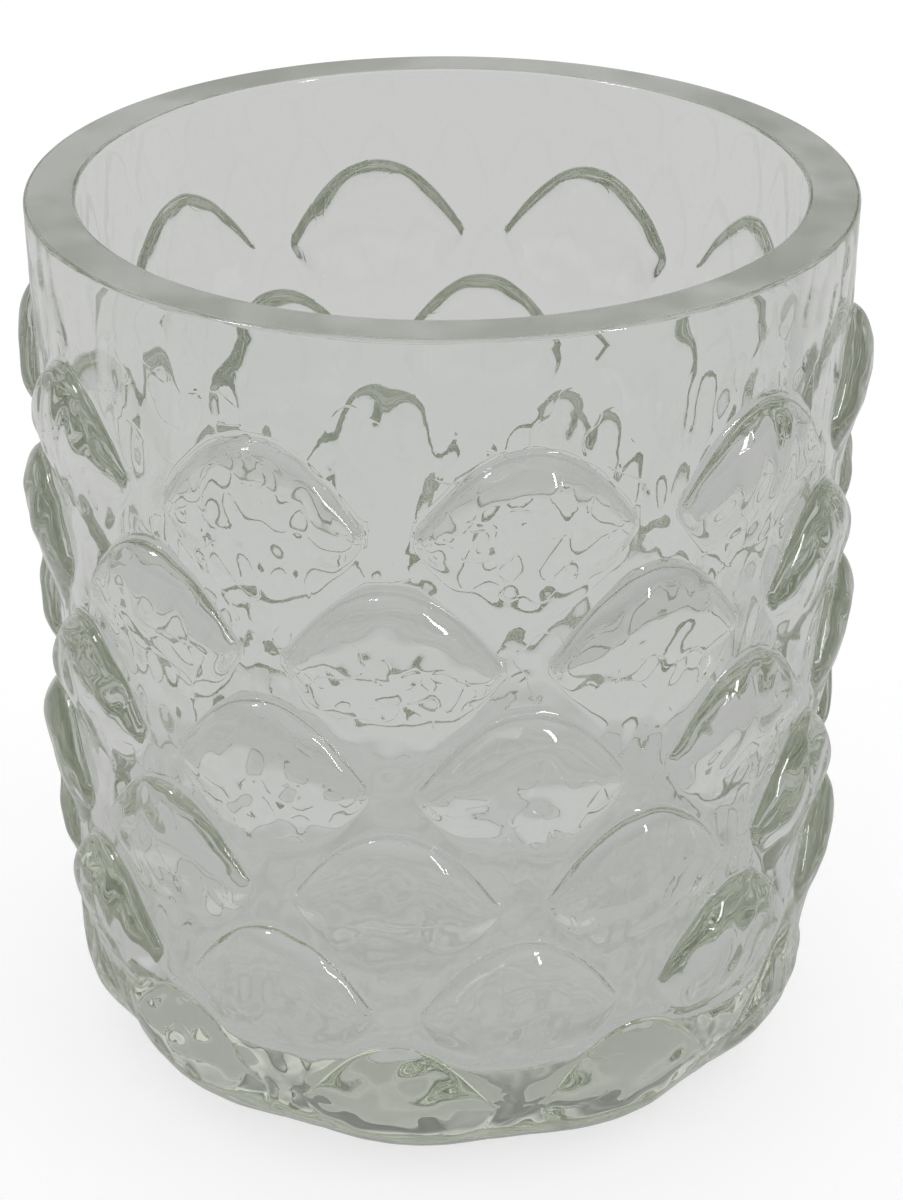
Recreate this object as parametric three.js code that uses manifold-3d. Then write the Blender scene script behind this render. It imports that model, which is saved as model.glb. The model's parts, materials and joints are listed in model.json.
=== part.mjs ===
// Drinking glass, pressed in one piece of clear glass.
//
// The wall is a slightly tapering round body on a rounded, solid foot. Six
// staggered rows of lens-shaped bosses stand out of it. Each boss has two
// pointed ends, a steep arched upper edge and a long face that fades out
// downwards. The bosses of the lowest row are low and run into the lobes of
// the foot. The rim is ground flat and its edges are softened.
// Millimetres, +Z up, origin in the middle of the face it stands on.

import * as THREE from 'three';
import { mergeVertices } from 'three/addons/utils/BufferGeometryUtils.js';
import Module from 'manifold-3d';

// Body
const HEIGHT = 90;              // table to rim
const RIM_RADIUS = 40;          // outside of the wall at the rim
const TAPER = 2.3;              // the wall is this much narrower, in radius, at the table
const RIM_SOFTENING = 0.4;      // round on both edges of the ground rim

// Rounded foot
const FOOT_ROUND_WIDTH = 9.2;   // how far the rounding comes in, along the table
const FOOT_ROUND_HEIGHT = 13.5; // how far it goes up the wall
const FOOT_LOBE = 0.32;         // it goes up less by this share in the middle of the lowest bosses

// Inside
const WALL_AT_RIM = 5;
const WALL_AT_FLOOR = 5.5;
const FLOOR_THICKNESS = 10;
const FLOOR_ROUND = 5.5;        // round between the floor and the wall

// Bosses
const COLUMNS = 10;             // bosses in one row
const TIP_GAP = 5;              // plain wall between the pointed ends of neighbours
const TOP_ROW_DROP = 19.7;      // from the rim down to the tips of the top row
const ROW_PITCH = 13.25;        // from the top row to the next
const PITCH_LOSS = 0.34;        // each later step between rows is this much less
const LEAST_LEVEL = 6;          // no row has its points lower than this over the table
const BOSS_RISE = 8.7;          // from the points up to the top of the arch
const BOSS_FALL = 9;            // from the points down to the lowest point, where there is room
const BOSS_GAP = 0.3;           // least plain glass between a boss and what is below it
const BOSS_HEIGHT = 2.4;        // how far the ridge stands out of the wall
const LOWEST_BOSS_HEIGHT = 0.5; // the same in the lowest row, where the foot is lobed instead
const RIDGE_RISE = 4.5;         // from the points up to the top of the ridge
const RIDGE_NARROWING = 2.2;    // 1 gives the ridge the arch of the upper edge, more a narrower one
const CROWN_FULLNESS = 1.8;     // 1 is a flat upper face, 2 a quarter of an ellipse
const TIP_SPREAD = 0.1;         // least share of a boss's height kept for its facets

// Facets
const FACE_STEPS = [0, 0.35, 0.7, 1];    // shares of the way up to the ridge
const LOWEST_FACE_STEPS = [0, 0.08, 0.22, 0.45, 0.72, 1]; // closer, where the foot curves
const CROWN_STEPS = [0.5, 0.85, 1];      // shares of the way from there to the upper edge
const FOOT_STEPS = 3;           // rings below the lowest row
const RIM_STEPS = 2;            // rings above the highest row
const INTERLOCK_STEPS = 3;      // upright lines across the ends of two bosses
const SOFTENING_STEPS = 2;
const BORE_SIDES = 60;
const BORE_ROUND_STEPS = 5;

const FOOT_RADIUS = RIM_RADIUS - TAPER;
const columnAngle = 2 * Math.PI / COLUMNS;
const tipAngle = (columnAngle - TIP_GAP / RIM_RADIUS) / 2;

// Levels of the pointed ends, from the top row down, as many as the wall takes.
const rowLevels = [];
for (
  let level = HEIGHT - TOP_ROW_DROP, step = ROW_PITCH;
  level >= LEAST_LEVEL;
  level -= step, step -= PITCH_LOSS
) rowLevels.push(level);

// Every second row is turned by half a column.
const rowTurn = (row) => (row % 2) * columnAngle / 2;

// Distance round the wall from the nearest boss of a row, 1 at its pointed end.
function acrossBoss(row, angle) {
  const offset = angle - rowTurn(row);
  const nearest = offset - Math.round(offset / columnAngle) * columnAngle;
  return Math.abs(nearest) / tipAngle;
}

// Height of the arch over the pointed ends, 1 in the middle and 0 at the ends.
const arch = (across) => 1 - Math.min(across, 1) ** 2;

// The points of one boss on an upright line, from its lower edge over its ridge
// to its upper edge: how high each lies and how far it stands out. The boss
// ends above the given height, where the boss below or the table is.
function bossLine(level, across, below, height, faceSteps) {
  const spread = (share) => TIP_SPREAD + (1 - TIP_SPREAD) * share;
  const low = Math.max(level - BOSS_FALL * spread(arch(across)), below + BOSS_GAP);
  const ridge = level + RIDGE_RISE * spread(arch(across) ** RIDGE_NARROWING);
  const high = level + BOSS_RISE * spread(arch(across));
  const lens = height * Math.sqrt(arch(across));
  const face = faceSteps.map((up) => [
    low + (ridge - low) * up,
    lens * (1 - Math.cos(up * Math.PI)) / 2,
  ]);
  const crown = CROWN_STEPS.map((up) => [
    ridge + (high - ridge) * up,
    lens * (1 - up ** CROWN_FULLNESS) ** (1 / CROWN_FULLNESS),
  ]);
  return [...face, ...crown];
}

// Radius of the plain wall, and its outward slope. The foot is lobed: it is
// rounded over a lower height in the middle of the lowest bosses.
function wall(angle, level) {
  const taper = (RIM_RADIUS - FOOT_RADIUS) / HEIGHT;
  const straight = FOOT_RADIUS + taper * level;
  const lobe = FOOT_LOBE * arch(acrossBoss(rowLevels.length - 1, angle));
  const roundHeight = FOOT_ROUND_HEIGHT * (1 - lobe);
  const under = Math.min(1, Math.max(0, (roundHeight - level) / roundHeight));
  const quarter = Math.sqrt(1 - under * under);
  const radius = straight - FOOT_ROUND_WIDTH * (1 - quarter);
  const slope = taper + FOOT_ROUND_WIDTH / roundHeight * under / Math.max(quarter, 0.1);
  return { radius, slope };
}

// A point of the outer surface: the plain wall pushed out square to itself.
function outerPoint(angle, level, relief) {
  const { radius, slope } = wall(angle, level);
  const square = Math.hypot(1, slope);
  const r = radius + relief / square;
  const z = Math.max(0, level - relief * slope / square);
  return [r * Math.sin(angle), -r * Math.cos(angle), z];
}

// One upright line of the outer surface, from the table to the rim. Its points
// follow the edges of the bosses that it crosses.
function outerLine(angle) {
  const line = [];
  const stops = [];
  for (let row = rowLevels.length - 1, below = 0; row >= 0; row--) {
    const lowestRow = row === rowLevels.length - 1;
    const height = lowestRow ? LOWEST_BOSS_HEIGHT : BOSS_HEIGHT;
    const faceSteps = lowestRow ? LOWEST_FACE_STEPS : FACE_STEPS;
    stops.push(...bossLine(rowLevels[row], acrossBoss(row, angle), below, height, faceSteps));
    below = stops[stops.length - 1][0];
  }
  const lowest = stops[0][0];
  const highest = stops[stops.length - 1][0];
  for (let i = 0; i < FOOT_STEPS; i++) {
    line.push(outerPoint(angle, lowest * (i / FOOT_STEPS) ** 2, 0));
  }
  for (const [level, relief] of stops) line.push(outerPoint(angle, level, relief));
  const shoulder = HEIGHT - RIM_SOFTENING;
  for (let i = 1; i <= RIM_STEPS; i++) {
    line.push(outerPoint(angle, highest + (shoulder - highest) * i / RIM_STEPS, 0));
  }
  for (let i = 1; i <= SOFTENING_STEPS; i++) {
    const turn = i / SOFTENING_STEPS * Math.PI / 2;
    const r = RIM_RADIUS - RIM_SOFTENING * (1 - Math.cos(turn));
    const z = shoulder + RIM_SOFTENING * Math.sin(turn);
    line.push([r * Math.sin(angle), -r * Math.cos(angle), z]);
  }
  return line;
}

// The lines stand where the bosses have their middles and their pointed ends,
// and evenly where two rows of bosses interlock.
function lineAngles() {
  const half = columnAngle / 2;
  const interlock = 2 * tipAngle - half;
  const stops = [0];
  for (let i = 0; i <= INTERLOCK_STEPS; i++) {
    stops.push(half - tipAngle + interlock * i / INTERLOCK_STEPS);
  }
  const angles = [];
  for (let i = 0; i < 2 * COLUMNS; i++) {
    for (const stop of stops) angles.push(i * half + stop);
  }
  return angles;
}

// A closed body from equal lines of points, joined side by side round the axis.
function skin(lines) {
  const rings = lines[0].length;
  const points = lines.flat(1);
  const faces = [];
  for (let i = 0; i < lines.length; i++) {
    const a = i * rings;
    const b = (i + 1) % lines.length * rings;
    for (let k = 0; k < rings - 1; k++) {
      faces.push(a + k, b + k, b + k + 1, a + k, b + k + 1, a + k + 1);
    }
  }
  const foot = points.push([0, 0, lines[0][0][2]]) - 1;
  const top = points.push([0, 0, lines[0][rings - 1][2]]) - 1;
  for (let i = 0; i < lines.length; i++) {
    const a = i * rings;
    const b = (i + 1) % lines.length * rings;
    faces.push(foot, b, a, top, a + rings - 1, b + rings - 1);
  }
  const geometry = new THREE.BufferGeometry();
  geometry.setAttribute('position', new THREE.Float32BufferAttribute(points.flat(), 3));
  geometry.setIndex(faces);
  return geometry;
}

// The hollow: a round floor edge, a plain tapering bore and a softened mouth.
function bore() {
  const mouth = RIM_RADIUS - WALL_AT_RIM;
  const floor = FOOT_RADIUS - WALL_AT_FLOOR;
  const slope = (mouth - floor) / (HEIGHT - FLOOR_THICKNESS);
  const profile = [new THREE.Vector2(0, FLOOR_THICKNESS)];
  for (let i = 0; i <= BORE_ROUND_STEPS; i++) {
    const turn = i / BORE_ROUND_STEPS * Math.PI / 2;
    const z = FLOOR_THICKNESS + FLOOR_ROUND * (1 - Math.cos(turn));
    const r = floor + slope * FLOOR_ROUND - FLOOR_ROUND * (1 - Math.sin(turn));
    profile.push(new THREE.Vector2(r, z));
  }
  for (let i = 0; i <= SOFTENING_STEPS; i++) {
    const turn = i / SOFTENING_STEPS * Math.PI / 2;
    const z = HEIGHT - RIM_SOFTENING * (1 - Math.sin(turn));
    profile.push(new THREE.Vector2(mouth + RIM_SOFTENING * (1 - Math.cos(turn)), z));
  }
  const above = HEIGHT + 1;
  profile.push(new THREE.Vector2(mouth + RIM_SOFTENING, above));
  profile.push(new THREE.Vector2(0, above));
  const lathe = new THREE.LatheGeometry(profile, BORE_SIDES);
  lathe.rotateX(Math.PI / 2);
  return lathe;
}

const wasm = await Module();
wasm.setup();

function toSolid(geometry) {
  const plain = geometry.clone();
  plain.deleteAttribute('normal');
  plain.deleteAttribute('uv');
  const merged = mergeVertices(plain, 1e-4);
  return new wasm.Manifold(new wasm.Mesh({
    numProp: 3,
    vertProperties: new Float32Array(merged.attributes.position.array),
    triVerts: new Uint32Array(merged.index.array),
  }));
}

function toGeometry(solid) {
  const mesh = solid.getMesh();
  const geometry = new THREE.BufferGeometry();
  geometry.setAttribute('position', new THREE.BufferAttribute(mesh.vertProperties, 3));
  geometry.setIndex(new THREE.BufferAttribute(mesh.triVerts, 1));
  geometry.computeVertexNormals();
  return geometry;
}

function glassBody() {
  const outside = toSolid(skin(lineAngles().map(outerLine)));
  const inside = toSolid(bore());
  const clearGlass = new THREE.MeshStandardMaterial({
    color: 0xc8ccca, roughness: 0.03, metalness: 0, transparent: true, opacity: 0.35,
  });
  const body = new THREE.Mesh(toGeometry(outside.subtract(inside)), clearGlass);
  body.name = 'glass_body';
  return body;
}

const group = new THREE.Group();
group.add(glassBody());

export default group;
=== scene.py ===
# Looks for the pressed glass tumbler: a fine mesh of the same form as the packed
# solid, its glass, and a plain pale studio. Metres, +Z up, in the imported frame.

import json
import math
import random

import bpy
import numpy as np
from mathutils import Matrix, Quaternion, Vector

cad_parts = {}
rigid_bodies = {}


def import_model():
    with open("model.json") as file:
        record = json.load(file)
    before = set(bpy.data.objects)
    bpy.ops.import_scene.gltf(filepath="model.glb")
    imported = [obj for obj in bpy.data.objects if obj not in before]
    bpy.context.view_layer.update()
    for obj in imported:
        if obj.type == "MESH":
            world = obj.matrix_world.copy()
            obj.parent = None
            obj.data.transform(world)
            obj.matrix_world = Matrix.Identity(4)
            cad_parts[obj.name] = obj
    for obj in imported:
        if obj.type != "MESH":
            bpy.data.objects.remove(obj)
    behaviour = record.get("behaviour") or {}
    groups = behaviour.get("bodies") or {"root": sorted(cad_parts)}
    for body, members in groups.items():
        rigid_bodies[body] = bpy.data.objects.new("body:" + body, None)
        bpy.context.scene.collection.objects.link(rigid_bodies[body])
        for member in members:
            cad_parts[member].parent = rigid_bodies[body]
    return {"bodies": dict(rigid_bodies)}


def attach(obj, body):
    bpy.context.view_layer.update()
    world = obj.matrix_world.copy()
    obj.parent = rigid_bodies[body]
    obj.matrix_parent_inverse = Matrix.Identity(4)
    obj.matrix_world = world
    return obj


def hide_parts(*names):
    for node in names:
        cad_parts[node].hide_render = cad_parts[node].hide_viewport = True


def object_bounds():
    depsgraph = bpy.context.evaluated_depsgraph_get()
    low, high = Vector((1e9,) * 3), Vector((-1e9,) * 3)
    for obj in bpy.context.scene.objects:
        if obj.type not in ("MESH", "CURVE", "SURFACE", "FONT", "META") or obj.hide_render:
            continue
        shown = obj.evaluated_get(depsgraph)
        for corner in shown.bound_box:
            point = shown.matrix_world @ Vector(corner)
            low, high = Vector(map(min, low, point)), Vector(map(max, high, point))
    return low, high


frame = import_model()
cad_low, cad_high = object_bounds()

MM = 0.001

# Body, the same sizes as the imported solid
HEIGHT = cad_high.z
RIM_RADIUS = 40 * MM  # outside of the wall at the rim
TAPER = 2.3 * MM  # the wall is this much narrower, in radius, at the base
RIM_SOFTENING = 0.4 * MM  # round on both edges of the ground rim
FOOT_ROUND_WIDTH = 9.2 * MM  # how far the round of the foot comes in
FOOT_ROUND_HEIGHT = 13.5 * MM  # how far it goes up the wall
FOOT_LOBE = 0.32  # it goes up less by this share in the middle of the lowest bosses
WALL_AT_RIM = 5 * MM
WALL_AT_FLOOR = 5.5 * MM
FLOOR_THICKNESS = 10 * MM
FLOOR_ROUND = 5.5 * MM  # round between the floor and the wall inside

# Bosses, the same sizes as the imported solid
COLUMNS = 10  # bosses in one row
TIP_GAP = 5 * MM  # plain wall between the pointed ends of neighbours
TOP_ROW_DROP = 19.7 * MM  # from the rim down to the points of the top row
ROW_PITCH = 13.25 * MM  # from the top row to the next
PITCH_LOSS = 0.34 * MM  # each later step between rows is this much less
LEAST_LEVEL = 6 * MM  # no row has its points lower than this
BOSS_RISE = 8.7 * MM  # from the points up to the top of the arch
BOSS_FALL = 9 * MM  # from the points down to the lowest point, where there is room
BOSS_GAP = 0.3 * MM  # least plain glass between a boss and what is below it
BOSS_HEIGHT = 2.4 * MM  # how far the ridge stands out of the wall
LOWEST_BOSS_HEIGHT = 0.5 * MM  # the same in the lowest row, where the foot is lobed instead
RIDGE_RISE = 4.5 * MM  # from the points up to the top of the ridge
RIDGE_NARROWING = 2.2  # 1 gives the ridge the arch of the upper edge, more a narrower one
CROWN_FULLNESS = 1.8  # 1 is a flat upper face, 2 a quarter of an ellipse
TIP_SPREAD = 0.1  # least share of a boss's length kept at its points for its faces

# Fineness of the mesh
LINES_PER_HALF_COLUMN = 34
FACE_STEPS = 20  # rings on the long face of a boss
LOWEST_FACE_STEPS = 40  # the same on the lowest row, where the foot curves
CROWN_STEPS = 12  # rings from the ridge over the steep upper edge
GAP_STEPS = 3  # rings between two rows
FOOT_STEPS = 12  # rings below the lowest row
RIM_STEPS = 12  # rings above the highest row
SOFTENING_STEPS = 5
BORE_STEPS = 60
FLOOR_ROUND_STEPS = 14
FLAT_STEPS = 8  # rings across the base, the rim and the inner floor
LEAST_DIVISOR = 0.1  # keeps the slope of the foot finite where its round meets the base

# Waves that the mould and the plunger leave in the glass, as geometry
WAVE_COUNT = 40
WAVE_SEED = 5
SHORTEST_WAVE = 3.2 * MM
LONGEST_WAVE = 12 * MM
PLAIN_WAVE = 0.045 * MM  # height on the plain wall
BOSS_WAVE = 0.075 * MM  # height on the bosses
BOSS_WAVE_RELIEF = BOSS_HEIGHT / 2  # where a boss stands out this far
INNER_WAVE = 0.004 * MM  # height in the bore
WAVES_START = 6 * MM  # outside, the waves are in full from this level up
WAVES_END = 88 * MM  # and none are left at this one
WAVES_FADE = 6 * MM  # they fade out over this length below it
BORE_FADE = 4 * MM  # depth under the rim by which the waves of the bore are in full

# Finer ripples and creases on the outside, as bump
RIPPLED = "rippled"  # attribute with the share of them at each point
RIPPLE = 1.3 * MM
RIPPLE_HEIGHT = 0.007 * MM
RIPPLE_DETAIL = 1
RIPPLES_START = 16 * MM  # they are in full from this level up
RIPPLES_END = 86 * MM  # and none are left at this one
RIPPLES_FADE = 6 * MM  # they fade out over this length below it
CREASE = 5 * MM  # spacing of the thin creases that a cold mould leaves
CREASE_WIDTH = 0.025  # half of it, in the value of the noise that lays them
CREASE_DEPTH = 1.8  # in heights of the ripples
CREASE_DETAIL = 1
CREASE_PATCH = 11 * MM  # size of the patches that have creases
PATCH_START, PATCH_FULL = 0.44, 0.52  # values of the noise that lays the patches
NOISE_MIDDLE = 0.5

# Glass
GLASS_IOR = 1.5
GLASS_TINT = (0.98, 0.987, 0.98)
ABSORBED_COLOUR = (0.6, 0.645, 0.515)
ABSORPTION = 12.0  # per metre
RIM_ROUGHNESS = 0.3
RIM_CLEAR_LEAST = 0.6  # share of light that the ground rim lets through where it is most matt
RIM_CLEAR_MOST = 0.79  # and where it is clearest
RIM_MOTTLE = 11 * MM
RIM_MOTTLE_DETAIL = 3
MOTTLE_LOW, MOTTLE_HIGH = 0.35, 0.65  # values of the noise between those two shares

# Camera, fitted to the rim, the outline and the bosses of the photograph
CAMERA_AZIMUTH = -11.2  # degrees; 0 looks along +Y, and less stands more to the left
CAMERA_ELEVATION = 26.82
CAMERA_ROLL = -0.12
CAMERA_DISTANCE = 336.5 * MM
CAMERA_SENSOR = 36  # along the long side
CAMERA_LENS = 98.9
CAMERA_NEAR, CAMERA_FAR = 0.01, 50
AIM_HEIGHT = 45.06 * MM  # of the place that it looks at
AIM_RIGHT = 0.81 * MM  # of the axis, as the camera sees it

# Floor as the camera sees it
FLOOR_REACH = 6.0  # from its middle to each side
FLOOR_DROP = 0.02 * MM  # keeps it clear of the base
FLOOR_COLOUR = 0.5
FLOOR_ROUGHNESS = 0.9
FLOOR_LIFT = 0.6  # brings it up to white and leaves the shadow

# Floor as the glass shows it, from the camera's side to the far side, as painted shade:
# darker under the glass as its painted shadow, darkest in front and lighter behind, as if lit
# from behind
SEEN_IN_FRONT_PAINTED_SHADE = 0.45
SEEN_UNDER_PAINTED_SHADOW = 0.525
SEEN_BEHIND = 0.63
FRONT_END, UNDER_START = -80 * MM, -15 * MM
UNDER_END, BEHIND_START = 45 * MM, 90 * MM
SEEN_LIT = 0.1  # share of that tone that the room lights

# Room as the glass shows it, by the height of the direction, from 0 to 1 overhead
SEEN_HORIZON = 0.6
SEEN_LOW = 0.24
SEEN_OVERHEAD = 1.0
HORIZON_END, LOW_START = 0.1, 0.22
LOW_END, OVERHEAD_START = 0.3, 0.8
ROOM_LIGHT = 0.85  # what lights the floor

# Far lamps that only mirror reflections show: azimuth, elevation, width and height in
# degrees as the glass sees them. Azimuth 0 is behind the glass and 90 on its right.
GLINTS = {
    "glint_front_right": (145, 24, 4.5, 25),
    "glint_left": (-88, 56, 9, 9),
}
GLINT_DISTANCE = 1.5
GLINT_RADIANCE = 18.0

# Rays that pass many walls of glass
GLASS_BOUNCES = 32
MIRROR_BOUNCES = 24

FOOT_RADIUS = RIM_RADIUS - TAPER
MOUTH_RADIUS = RIM_RADIUS - WALL_AT_RIM
COLUMN_ANGLE = 2 * math.pi / COLUMNS
TIP_ANGLE = (COLUMN_ANGLE - TIP_GAP / RIM_RADIUS) / 2


def row_levels():
    """Levels of the pointed ends, from the top row down."""
    levels = []
    level, step = HEIGHT - TOP_ROW_DROP, ROW_PITCH
    while level >= LEAST_LEVEL:
        levels.append(level)
        level -= step
        step -= PITCH_LOSS
    return levels


def across_boss(row, angle):
    """Distance round the wall from the nearest boss of a row, 1 at its pointed end."""
    offset = angle - (row % 2) * COLUMN_ANGLE / 2
    nearest = offset - np.round(offset / COLUMN_ANGLE) * COLUMN_ANGLE
    return np.abs(nearest) / TIP_ANGLE


def arch(across):
    """Height of the arch over the pointed ends, 1 in the middle and 0 at the ends."""
    return 1 - np.minimum(across, 1) ** 2


def boss_line(level, across, below, face_shares, height):
    """(level, relief) of every ring of one row of bosses, from the lower edge up."""
    def spread(share):
        return TIP_SPREAD + (1 - TIP_SPREAD) * share

    low = np.maximum(level - BOSS_FALL * spread(arch(across)), below + BOSS_GAP)
    ridge = level + RIDGE_RISE * spread(arch(across) ** RIDGE_NARROWING)
    high = level + BOSS_RISE * spread(arch(across))
    lens = height * np.sqrt(arch(across))
    line = []
    for up in face_shares:
        line.append((low + (ridge - low) * up, lens * (1 - math.cos(up * math.pi)) / 2))
    for i in range(CROWN_STEPS + 1):
        turn = i / CROWN_STEPS * math.pi / 2
        up = math.sin(turn) ** (2 / CROWN_FULLNESS)
        out = math.cos(turn) ** (2 / CROWN_FULLNESS) if i < CROWN_STEPS else 0
        line.append((ridge + (high - ridge) * up, lens * out))
    return line


def plain_wall(level, round_height):
    """Radius of the plain wall, and its outward slope, at a level."""
    taper = TAPER / HEIGHT
    under = np.clip((round_height - level) / round_height, 0, 1)
    quarter = np.sqrt(1 - under ** 2)
    radius = FOOT_RADIUS + taper * level - FOOT_ROUND_WIDTH * (1 - quarter)
    steepness = under / np.maximum(quarter, LEAST_DIVISOR)
    return radius, taper + FOOT_ROUND_WIDTH / round_height * steepness


def waves(seed, radius):
    """A smooth random surface over the angle and the level of a round wall, about 1 high."""
    draw = random.Random(seed)
    parts = []
    for _ in range(WAVE_COUNT):
        length = math.exp(draw.uniform(math.log(SHORTEST_WAVE), math.log(LONGEST_WAVE)))
        heading = draw.uniform(0, 2 * math.pi)
        around = round(2 * math.pi * radius / length * math.cos(heading))
        upward = 2 * math.pi / length * math.sin(heading)
        phase = draw.uniform(0, 2 * math.pi)
        parts.append((around, upward, phase))

    def height(angle, level):
        total = sum(np.sin(around * angle + upward * level + phase)
                    for around, upward, phase in parts)
        return total / math.sqrt(WAVE_COUNT / 2)

    return height


def relief_stops(angle):
    """(level, relief) of every ring of the outer wall, from the base to the rim."""
    stops = []
    below = 0 * angle
    levels = row_levels()
    for row in range(len(levels) - 1, -1, -1):
        if stops:
            gap_shares = [i / (GAP_STEPS + 1) for i in range(1, GAP_STEPS + 1)]
            face_shares = [i / FACE_STEPS for i in range(FACE_STEPS)]
            height = BOSS_HEIGHT
        else:
            gap_shares = [(i / FOOT_STEPS) ** 2 for i in range(FOOT_STEPS)]
            face_shares = [(i / LOWEST_FACE_STEPS) ** 2 for i in range(LOWEST_FACE_STEPS)]
            height = LOWEST_BOSS_HEIGHT
        line = boss_line(levels[row], across_boss(row, angle), below, face_shares, height)
        gap = line[0][0] - below
        stops.extend((below + gap * share, 0 * angle) for share in gap_shares)
        stops.extend(line)
        below = line[-1][0]
    shoulder = HEIGHT - RIM_SOFTENING
    for i in range(1, RIM_STEPS + 1):
        stops.append((below + (shoulder - below) * i / RIM_STEPS, 0 * angle))
    return stops


def outer_wall(angle):
    """Radius and level of every ring of the outer wall, with its bosses and waves."""
    stops = relief_stops(angle)
    level = np.array([stop[0] for stop in stops])
    relief = np.array([stop[1] for stop in stops])
    lobe = arch(across_boss(len(row_levels()) - 1, angle))
    radius, slope = plain_wall(level, FOOT_ROUND_HEIGHT * (1 - FOOT_LOBE * lobe))
    out = relief / np.hypot(1, slope)
    radius, level = radius + out, np.maximum(0, level - out * slope)

    on_boss = np.clip(relief / BOSS_WAVE_RELIEF, 0, 1)
    depth = PLAIN_WAVE + (BOSS_WAVE - PLAIN_WAVE) * on_boss
    share = np.clip(level / WAVES_START, 0, 1)
    share = share * np.clip((WAVES_END - level) / WAVES_FADE, 0, 1)
    return radius + depth * waves(WAVE_SEED, RIM_RADIUS)(angle, level) * share, level


def rim_rings():
    """(radius, level) of the rings of the outer edge, the ground face and the inner edge."""
    turns = [i / SOFTENING_STEPS * math.pi / 2 for i in range(SOFTENING_STEPS + 1)]
    outside, inside = RIM_RADIUS - RIM_SOFTENING, MOUTH_RADIUS + RIM_SOFTENING
    outer_edge = [(outside + RIM_SOFTENING * math.cos(turn),
                   HEIGHT - RIM_SOFTENING * (1 - math.sin(turn))) for turn in turns[1:]]
    face = [(outside + (inside - outside) * i / FLAT_STEPS, HEIGHT)
            for i in range(1, FLAT_STEPS)]
    inner_edge = [(inside - RIM_SOFTENING * math.sin(turn),
                   HEIGHT - RIM_SOFTENING * (1 - math.cos(turn))) for turn in turns]
    return outer_edge, face, inner_edge


def bore_radius(level):
    """Radius of the bore, which widens towards the mouth, at a level."""
    at_floor = FOOT_RADIUS - WALL_AT_FLOOR
    slope = (MOUTH_RADIUS - at_floor) / (HEIGHT - FLOOR_THICKNESS)
    return at_floor + slope * (level - FLOOR_THICKNESS)


def bore_rings(angle):
    """(radius, level) of the rings of the bore, its round corner and the inner floor."""
    wave = waves(WAVE_SEED + 1, MOUTH_RADIUS)
    top, low = HEIGHT - RIM_SOFTENING, FLOOR_THICKNESS + FLOOR_ROUND
    rings = []
    for i in range(1, BORE_STEPS + 1):
        level = top + (low - top) * i / BORE_STEPS
        share = min(1, (top - level) / BORE_FADE)
        rings.append((bore_radius(level) + INNER_WAVE * share * wave(angle, level), level))
    for i in range(1, FLOOR_ROUND_STEPS + 1):
        turn = i / FLOOR_ROUND_STEPS * math.pi / 2
        radius = bore_radius(low) - FLOOR_ROUND * (1 - math.cos(turn))
        level = FLOOR_THICKNESS + FLOOR_ROUND * (1 - math.sin(turn))
        share = 1 - i / FLOOR_ROUND_STEPS
        rings.append((radius + INNER_WAVE * share * wave(angle, level), level))
    edge = bore_radius(low) - FLOOR_ROUND
    for i in range(FLAT_STEPS - 1, 0, -1):
        rings.append((edge * math.sqrt(i / FLAT_STEPS), FLOOR_THICKNESS))
    return rings


def ring_faces(rings, count):
    """Faces between the rings, and the fans that close the first and the last ring."""
    here = np.arange(count)
    after = (here + 1) % count
    faces = []
    for ring in range(rings - 1):
        low, high = ring * count, (ring + 1) * count
        faces.append(np.stack([low + here, low + after, high + after, high + here], axis=1))
    faces = np.vstack(faces).tolist()
    first_centre, last_centre, last = rings * count, rings * count + 1, (rings - 1) * count
    for i in range(count):
        faces.append([first_centre, int(after[i]), i])
        faces.append([last_centre, last + i, last + int(after[i])])
    return faces


def glass_mesh():
    """The whole closed surface, from the middle of the base over the rim to the middle
    of the inner floor. The ground face of the rim has the second material."""
    count = 2 * COLUMNS * LINES_PER_HALF_COLUMN
    angle = np.arange(count) * 2 * math.pi / count
    wall_radius, wall_level = outer_wall(angle)
    base = [(wall_radius[0] * math.sqrt(i / FLAT_STEPS), 0.0) for i in range(1, FLAT_STEPS)]
    outer_edge, face, inner_edge = rim_rings()
    rings = base + list(zip(wall_radius, wall_level)) + outer_edge
    ground_start = len(rings) - 1
    rings += face
    ground_end = len(rings)
    rings += inner_edge + bore_rings(angle)

    radius = np.array([np.broadcast_to(ring[0], angle.shape) for ring in rings])
    level = np.array([np.broadcast_to(ring[1], angle.shape) for ring in rings])
    points = np.stack([radius * np.sin(angle), -radius * np.cos(angle), level], axis=-1)
    points = np.vstack([points.reshape(-1, 3), [0, 0, 0], [0, 0, FLOOR_THICKNESS]])
    on_wall = slice(len(base), len(base) + len(wall_level))
    rippled = np.zeros(level.shape)
    rippled[on_wall] = np.clip(wall_level / RIPPLES_START, 0, 1)
    rippled[on_wall] *= np.clip((RIPPLES_END - wall_level) / RIPPLES_FADE, 0, 1)

    mesh = bpy.data.meshes.new("glass_body_fine")
    mesh.from_pydata(points.tolist(), [], ring_faces(len(rings), count))
    slots = np.zeros(len(mesh.polygons), dtype=np.int32)
    slots[ground_start * count:ground_end * count] = 1
    mesh.polygons.foreach_set("material_index", slots)
    mesh.polygons.foreach_set("use_smooth", [True] * len(mesh.polygons))
    shares = mesh.attributes.new(RIPPLED, "FLOAT", "POINT")
    shares.data.foreach_set("value", np.append(rippled.ravel(), [0, 0]))
    mesh.validate()
    mesh.update()
    return mesh


def noise(tree, length, detail):
    """Even noise of the given length over the object."""
    where = tree.nodes.new("ShaderNodeTexCoord")
    texture = tree.nodes.new("ShaderNodeTexNoise")
    texture.inputs["Scale"].default_value = 1 / length
    texture.inputs["Detail"].default_value = detail
    tree.links.new(where.outputs["Object"], texture.inputs["Vector"])
    return texture.outputs["Fac"]


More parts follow.
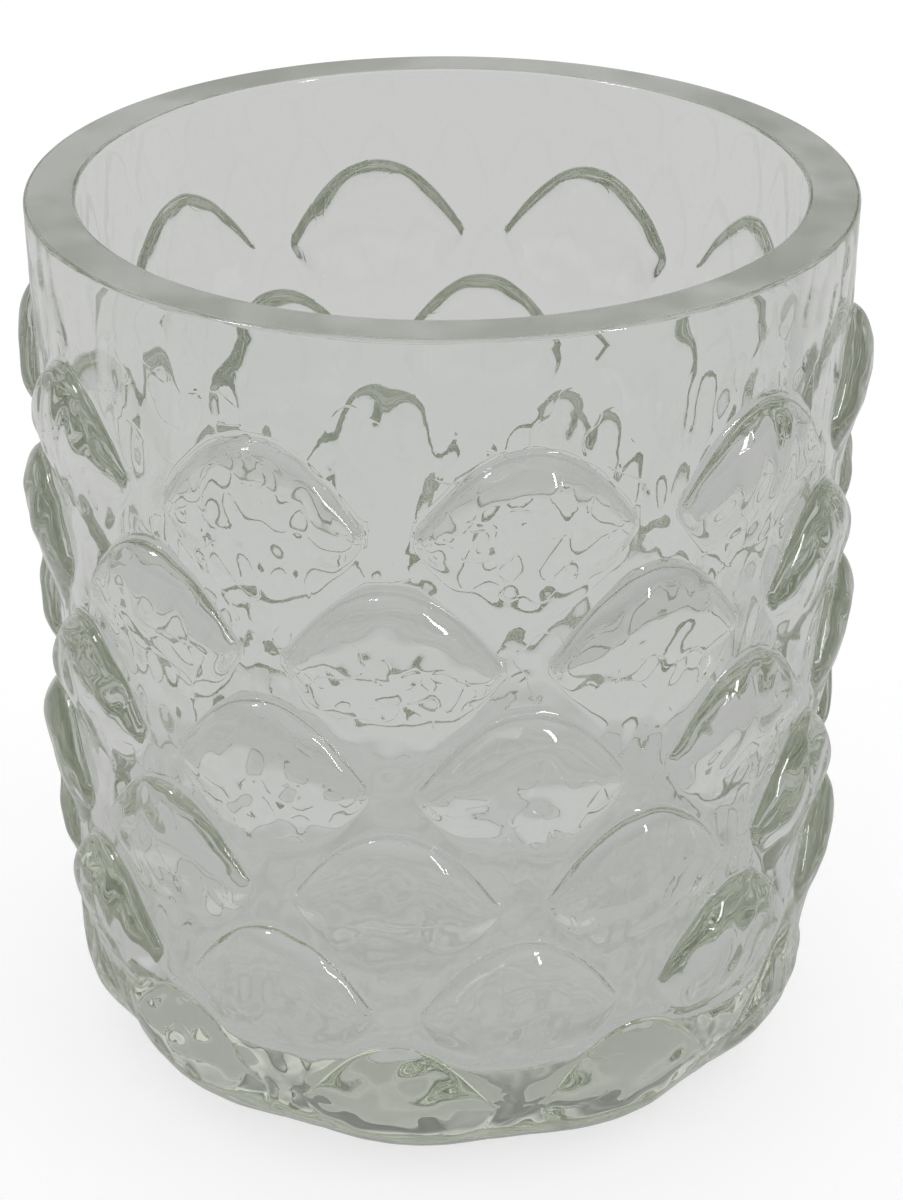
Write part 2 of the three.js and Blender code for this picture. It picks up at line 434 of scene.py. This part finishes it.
def stepped(tree, value, low, high, to_low, to_high):
    """A smooth step of a value from one range to another."""
    step = tree.nodes.new("ShaderNodeMapRange")
    step.interpolation_type = "SMOOTHSTEP"
    step.inputs["From Min"].default_value = low
    step.inputs["From Max"].default_value = high
    step.inputs["To Min"].default_value = to_low
    step.inputs["To Max"].default_value = to_high
    tree.links.new(value, step.inputs["Value"])
    return step.outputs["Result"]


def combined(tree, operation, *values):
    """The result of a Math node on outputs of other nodes or numbers."""
    result = tree.nodes.new("ShaderNodeMath")
    result.operation = operation
    for place, value in zip(result.inputs, values):
        if isinstance(value, bpy.types.NodeSocket):
            tree.links.new(value, place)
        else:
            place.default_value = value
    return result.outputs["Value"]


def along(tree, coordinates, axis):
    """Place of a point, or of a direction in the world, along one axis."""
    where = tree.nodes.new("ShaderNodeTexCoord")
    axes = tree.nodes.new("ShaderNodeSeparateXYZ")
    tree.links.new(where.outputs[coordinates], axes.inputs["Vector"])
    return axes.outputs[axis]


def clear_glass(name, roughness):
    """A material of the tumbler's glass."""
    material = bpy.data.materials.new(name)
    material.use_nodes = True
    tree = material.node_tree
    shader = tree.nodes["Principled BSDF"]
    shader.inputs["Base Color"].default_value = (*GLASS_TINT, 1)
    shader.inputs["Roughness"].default_value = roughness
    shader.inputs["IOR"].default_value = GLASS_IOR
    shader.inputs["Transmission Weight"].default_value = 1.0
    absorption = tree.nodes.new("ShaderNodeVolumeAbsorption")
    absorption.inputs["Color"].default_value = (*ABSORBED_COLOUR, 1)
    absorption.inputs["Density"].default_value = ABSORPTION
    tree.links.new(absorption.outputs["Volume"], tree.nodes["Material Output"].inputs["Volume"])
    return material


def creases(tree):
    """Thin valleys along the lines where a noise passes its middle value, in patches."""
    off_line = combined(tree, "SUBTRACT", noise(tree, CREASE, CREASE_DETAIL), NOISE_MIDDLE)
    off_line = combined(tree, "ABSOLUTE", off_line)
    valley = stepped(tree, off_line, 0, CREASE_WIDTH, -CREASE_DEPTH, 0)
    patch = noise(tree, CREASE_PATCH, CREASE_DETAIL)
    return combined(tree, "MULTIPLY", valley, stepped(tree, patch, PATCH_START, PATCH_FULL, 0, 1))


def fire_polished_glass():
    """The glass of the wall, with fine ripples and creases on its outside."""
    material = clear_glass("clear_pressed_glass", 0.0)
    tree = material.node_tree
    share = tree.nodes.new("ShaderNodeAttribute")
    share.attribute_name = RIPPLED
    height = combined(tree, "ADD", noise(tree, RIPPLE, RIPPLE_DETAIL), creases(tree))
    height = combined(tree, "MULTIPLY", height, share.outputs["Fac"])
    bump = tree.nodes.new("ShaderNodeBump")
    bump.inputs["Distance"].default_value = RIPPLE_HEIGHT
    tree.links.new(height, bump.inputs["Height"])
    tree.links.new(bump.outputs["Normal"], tree.nodes["Principled BSDF"].inputs["Normal"])
    return material


def ground_glass():
    """The softly mottled, matt glass of the ground rim."""
    material = clear_glass("ground_glass_rim", RIM_ROUGHNESS)
    tree = material.node_tree
    mottle = noise(tree, RIM_MOTTLE, RIM_MOTTLE_DETAIL)
    clear = stepped(tree, mottle, MOTTLE_LOW, MOTTLE_HIGH, RIM_CLEAR_LEAST, RIM_CLEAR_MOST)
    tree.links.new(clear, tree.nodes["Principled BSDF"].inputs["Transmission Weight"])
    return material


def glass_piece():
    """The tumbler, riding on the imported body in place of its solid."""
    body = bpy.data.objects.new("pressed_glass_body", glass_mesh())
    bpy.context.scene.collection.objects.link(body)
    body.data.materials.append(fire_polished_glass())
    body.data.materials.append(ground_glass())
    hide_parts("glass_body")
    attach(body, "root" if "root" in frame["bodies"] else next(iter(frame["bodies"])))


def kinds_of_ray(tree):
    """1 for a ray from the camera, and 1 for a ray that glass sends on or mirrors."""
    path = tree.nodes.new("ShaderNodeLightPath")
    passed, mirrored = path.outputs["Is Transmission Ray"], path.outputs["Is Glossy Ray"]
    return path.outputs["Is Camera Ray"], combined(tree, "MAXIMUM", passed, mirrored)


def floor_in_glass_painted_shade(tree):
    """Shader of the floor as the glass shows it: a tone of painted shade and shadow, a small part
    of it lit.
    """
    # Painted shade: darker in front of the glass and under it, as its shadow, lighter behind.
    depth = along(tree, "Object", "Y")
    near = stepped(tree, depth, FRONT_END, UNDER_START, SEEN_IN_FRONT_PAINTED_SHADE, SEEN_UNDER_PAINTED_SHADOW)
    far = stepped(tree, depth, UNDER_END, BEHIND_START, 0, SEEN_BEHIND - SEEN_UNDER_PAINTED_SHADOW)
    tone = combined(tree, "ADD", near, far)
    even = tree.nodes.new("ShaderNodeEmission")
    tree.links.new(tone, even.inputs["Color"])
    lit = tree.nodes.new("ShaderNodeBsdfDiffuse")
    tree.links.new(tone, lit.inputs["Color"])
    shown = tree.nodes.new("ShaderNodeMixShader")
    shown.inputs["Fac"].default_value = SEEN_LIT
    tree.links.new(even.outputs["Emission"], shown.inputs[1])
    tree.links.new(lit.outputs["BSDF"], shown.inputs[2])
    return shown.outputs["Shader"]


def floor_material():
    """White to the camera but for the shadow, light grey with painted shade in the glass."""
    material = bpy.data.materials.new("studio_floor")
    material.use_nodes = True
    tree = material.node_tree
    from_camera, in_glass = kinds_of_ray(tree)
    shader = tree.nodes["Principled BSDF"]
    shader.inputs["Base Color"].default_value = (FLOOR_COLOUR,) * 3 + (1,)
    shader.inputs["Roughness"].default_value = FLOOR_ROUGHNESS
    shader.inputs["Specular IOR Level"].default_value = 0.0
    shader.inputs["Emission Color"].default_value = (1, 1, 1, 1)
    lift = combined(tree, "MULTIPLY", from_camera, FLOOR_LIFT)
    tree.links.new(lift, shader.inputs["Emission Strength"])
    either = tree.nodes.new("ShaderNodeMixShader")
    tree.links.new(in_glass, either.inputs["Fac"])
    tree.links.new(shader.outputs["BSDF"], either.inputs[1])
    tree.links.new(floor_in_glass_painted_shade(tree), either.inputs[2])
    tree.links.new(either.outputs["Shader"], tree.nodes["Material Output"].inputs["Surface"])
    return material


def pale_floor():
    """The studio floor, just under the base."""
    corners = [(-1, -1), (1, -1), (1, 1), (-1, 1)]
    places = [(x * FLOOR_REACH, y * FLOOR_REACH, -FLOOR_DROP) for x, y in corners]
    mesh = bpy.data.meshes.new("studio_floor")
    mesh.from_pydata(places, [], [(0, 1, 2, 3)])
    mesh.materials.append(floor_material())
    floor = bpy.data.objects.new("studio_floor", mesh)
    bpy.context.scene.collection.objects.link(floor)


def room_in_glass(tree):
    """Tone of the room as the glass shows it: pale, then darker, then light overhead."""
    rise = along(tree, "Generated", "Z")
    horizon = stepped(tree, rise, HORIZON_END, LOW_START, SEEN_HORIZON - SEEN_LOW, 0)
    above = stepped(tree, rise, LOW_END, OVERHEAD_START, SEEN_LOW, SEEN_OVERHEAD)
    return combined(tree, "ADD", horizon, above)


def studio_world():
    """White to the camera, a soft room to the glass, and even light to the floor."""
    world = bpy.data.worlds.new("studio")
    bpy.context.scene.world = world
    world.use_nodes = True
    tree = world.node_tree
    from_camera, in_glass = kinds_of_ray(tree)
    room = tree.nodes.new("ShaderNodeMix")
    room.data_type = "RGBA"
    room.inputs["A"].default_value = (ROOM_LIGHT,) * 3 + (1,)
    tree.links.new(room_in_glass(tree), room.inputs["B"])
    tree.links.new(in_glass, room.inputs["Factor"])
    shown = tree.nodes.new("ShaderNodeMix")
    shown.data_type = "RGBA"
    shown.inputs["B"].default_value = (1, 1, 1, 1)
    tree.links.new(room.outputs["Result"], shown.inputs["A"])
    tree.links.new(from_camera, shown.inputs["Factor"])
    background = tree.nodes["Background"]
    background.inputs["Strength"].default_value = 1.0
    tree.links.new(shown.outputs["Result"], background.inputs["Color"])


def direction(azimuth, elevation):
    """Unit vector from the glass, for angles in degrees. Azimuth 0 points behind it and
    90 to its right."""
    turn, rise = math.radians(azimuth), math.radians(elevation)
    return Vector((math.sin(turn) * math.cos(rise), math.cos(turn) * math.cos(rise),
                   math.sin(rise)))


def glint_lamp(name, azimuth, elevation, width, height):
    """A lamp far off that only mirror reflections show."""
    towards = direction(azimuth, elevation)
    data = bpy.data.lights.new(name, "AREA")
    data.shape = "RECTANGLE"
    data.size = 2 * GLINT_DISTANCE * math.tan(math.radians(width) / 2)
    data.size_y = 2 * GLINT_DISTANCE * math.tan(math.radians(height) / 2)
    data.energy = GLINT_RADIANCE * math.pi * data.size * data.size_y
    lamp = bpy.data.objects.new(name, data)
    bpy.context.scene.collection.objects.link(lamp)
    lamp.location = Vector((0, 0, HEIGHT / 2)) + towards * GLINT_DISTANCE
    lamp.rotation_euler = (-towards).to_track_quat("-Z", "Y").to_euler()
    lamp.visible_camera = lamp.visible_diffuse = lamp.visible_transmission = False


def photo_camera():
    """The camera of the photograph."""
    data = bpy.data.cameras.new("photo_camera")
    data.lens = CAMERA_LENS
    data.sensor_width = CAMERA_SENSOR
    data.clip_start, data.clip_end = CAMERA_NEAR, CAMERA_FAR
    camera = bpy.data.objects.new("photo_camera", data)
    bpy.context.scene.collection.objects.link(camera)
    turn = math.radians(CAMERA_AZIMUTH)
    back = direction(180 - CAMERA_AZIMUTH, CAMERA_ELEVATION)
    right = Vector((math.cos(turn), math.sin(turn), 0))
    aim = Vector((0, 0, AIM_HEIGHT)) + right * AIM_RIGHT
    camera.location = aim + back * CAMERA_DISTANCE
    level_view = (-back).to_track_quat("-Z", "Y")
    roll = Quaternion(back, math.radians(CAMERA_ROLL))
    camera.rotation_euler = (roll @ level_view).to_euler()
    bpy.context.scene.camera = camera


scene = bpy.context.scene
scene.view_settings.view_transform = "Standard"
scene.cycles.max_bounces = GLASS_BOUNCES
scene.cycles.transmission_bounces = GLASS_BOUNCES
scene.cycles.glossy_bounces = MIRROR_BOUNCES

photo_camera()
glass_piece()
pale_floor()
studio_world()
for name, place in GLINTS.items():
    glint_lamp(name, *place)
